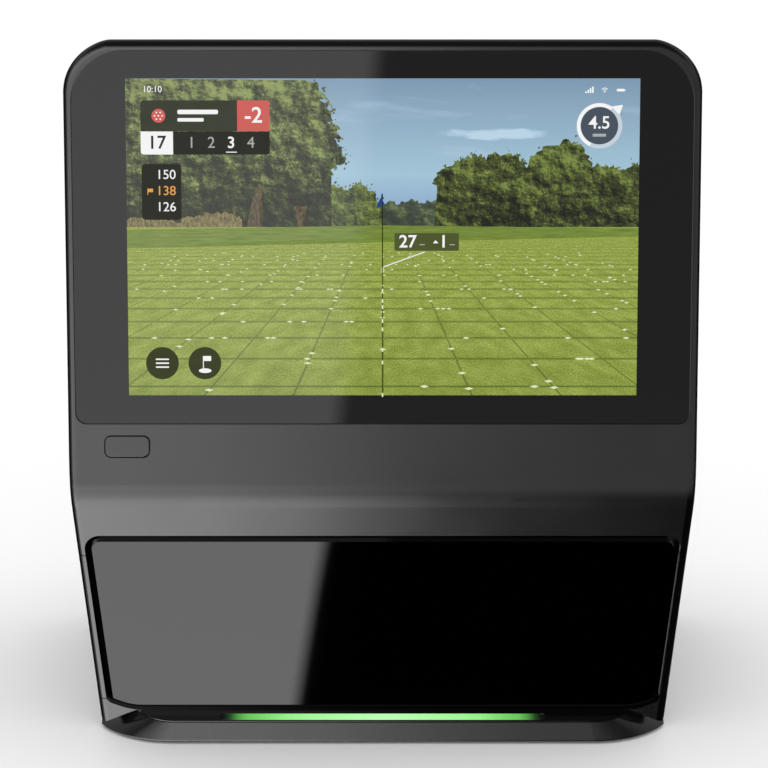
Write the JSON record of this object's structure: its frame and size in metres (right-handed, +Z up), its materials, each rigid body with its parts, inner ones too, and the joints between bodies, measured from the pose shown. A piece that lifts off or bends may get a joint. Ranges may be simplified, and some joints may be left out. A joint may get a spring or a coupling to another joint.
{
  "type": "golf launch monitor",
  "caption": "Wedge-shaped desktop golf launch monitor with a leaning touch screen, undercut camera window, lit ledge, rear carry handle, cooling vent, port bay and levelling feet.",
  "frame": {"origin": "on the ground, in the middle of the footprint", "axes": "+Z up, screen and camera window face -Y, +X to the right of a person facing the screen"},
  "size_m": [0.27, 0.1634, 0.312],
  "materials": {
    "case_plastic": "fine moulded texture, satin",
    "button_plastic": "fine moulded texture, satin",
    "cover_glass": "polished, black printed border",
    "window_glass": "polished infrared-pass black",
    "picture_panel": "lit picture",
    "backlight_tray": "white reflector in a steel tray",
    "black_foam": "foam tape",
    "steel_sheet": "zinc plated sheet",
    "circuit_board": "green solder mask",
    "switch_plastic": "moulded",
    "light_diffuser": "frosted, lit green",
    "barrel_metal": "black anodised",
    "lens_glass": "coated",
    "reflector_metal": "metallised",
    "chip_epoxy": "moulded",
    "heat_sink_metal": "extruded",
    "fan_plastic": "moulded",
    "cell_wrap": "shrink sleeve",
    "inner_plastic": "moulded",
    "strap_fabric": "woven hook and loop",
    "speaker_paper": "paper cone",
    "handle_metal": "powder coated",
    "grip_rubber": "soft touch",
    "socket_metal": "plated",
    "socket_plastic": "moulded",
    "foot_rubber": "matt",
    "wheel_plastic": "ridged",
    "screw_steel": "black oxide"
  },
  "bodies": {
    "case": {"backlight_unit": "backlight_tray", "base_tray": "case_plastic", "battery_board": "circuit_board", "battery_cells": "cell_wrap", "battery_strap": "strap_fabric", "battery_tray": "inner_plastic", "button_board": "circuit_board", "button_switch": "switch_plastic", "camera_barrel_center": "barrel_metal", "camera_barrel_left": "barrel_metal", "camera_barrel_right": "barrel_metal", "camera_board_center": "circuit_board", "camera_board_left": "circuit_board", "camera_board_right": "circuit_board", "camera_lens_center": "lens_glass", "camera_lens_left": "lens_glass", "camera_lens_right": "lens_glass", "camera_rail": "steel_sheet", "camera_window": "window_glass", "case_screws": "screw_steel", "chassis": "steel_sheet", "display_adhesive": "black_foam", "display_board": "circuit_board", "display_bracket": "steel_sheet", "display_cover_glass": "cover_glass", "emitter_board_left": "circuit_board", "emitter_board_right": "circuit_board", "emitter_reflectors": "reflector_metal", "fan_frame": "fan_plastic", "front_feet": "foot_rubber", "front_housing": "case_plastic", "handle_bar": "handle_metal", "handle_grip": "grip_rubber", "handle_tub": "case_plastic", "hdmi_socket": "socket_metal", "heat_sink": "heat_sink_metal", "inner_screws": "screw_steel", "lcd_panel": "picture_panel", "light_strip": "light_diffuser", "light_strip_board": "circuit_board", "lower_bezel": "case_plastic", "main_board": "circuit_board", "port_board": "circuit_board", "port_panel": "case_plastic", "power_jack": "socket_plastic", "processor": "chip_epoxy", "rear_housing": "case_plastic", "speaker_driver_left": "speaker_paper", "speaker_driver_right": "speaker_paper", "speaker_enclosure_left": "inner_plastic", "speaker_enclosure_right": "inner_plastic", "usb_c_socket": "socket_metal", "vent_grille": "case_plastic", "wifi_antennas": "circuit_board"},
    "power_button": {"power_button": "button_plastic"},
    "fan_rotor": {"fan_rotor": "fan_plastic"},
    "left_wheel": {"level_wheel_left": "wheel_plastic"},
    "right_wheel": {"level_wheel_right": "wheel_plastic"},
    "left_foot": {"level_foot_left": "foot_rubber"},
    "right_foot": {"level_foot_right": "foot_rubber"}
  },
  "joints": [
    {"name": "power_button_press", "type": "slide", "parent": "case", "child": "power_button", "axis": [0, 0.9848, -0.1736], "range_m": [0, 0.0008], "stiffness_N_per_m": 2500},
    {"name": "fan_spin", "type": "hinge", "parent": "case", "child": "fan_rotor", "pos_m": [0, 0.06973, 0.138], "axis": [0, 0.9063, 0.4226], "continuous": true},
    {"name": "left_wheel_turn", "type": "hinge", "parent": "case", "child": "left_wheel", "pos_m": [-0.095, 0.05, 0.0101], "axis": [0, 0, 1], "range_deg": [0, 1440]},
    {"name": "right_wheel_turn", "type": "hinge", "parent": "case", "child": "right_wheel", "pos_m": [0.095, 0.05, 0.0101], "axis": [0, 0, 1], "range_deg": [0, 1440]},
    {"name": "left_foot_slide", "type": "slide", "parent": "case", "child": "left_foot", "axis": [0, 0, -1], "range_m": [0, 0.005]},
    {"name": "right_foot_slide", "type": "slide", "parent": "case", "child": "right_foot", "axis": [0, 0, -1], "range_m": [0, 0.005]}
  ],
  "couplings": [
    {"joint": "left_foot_slide", "follows": "left_wheel_turn", "m_per_rad": 0.00019894},
    {"joint": "right_foot_slide", "follows": "right_wheel_turn", "m_per_rad": 0.00019894}
  ]
}
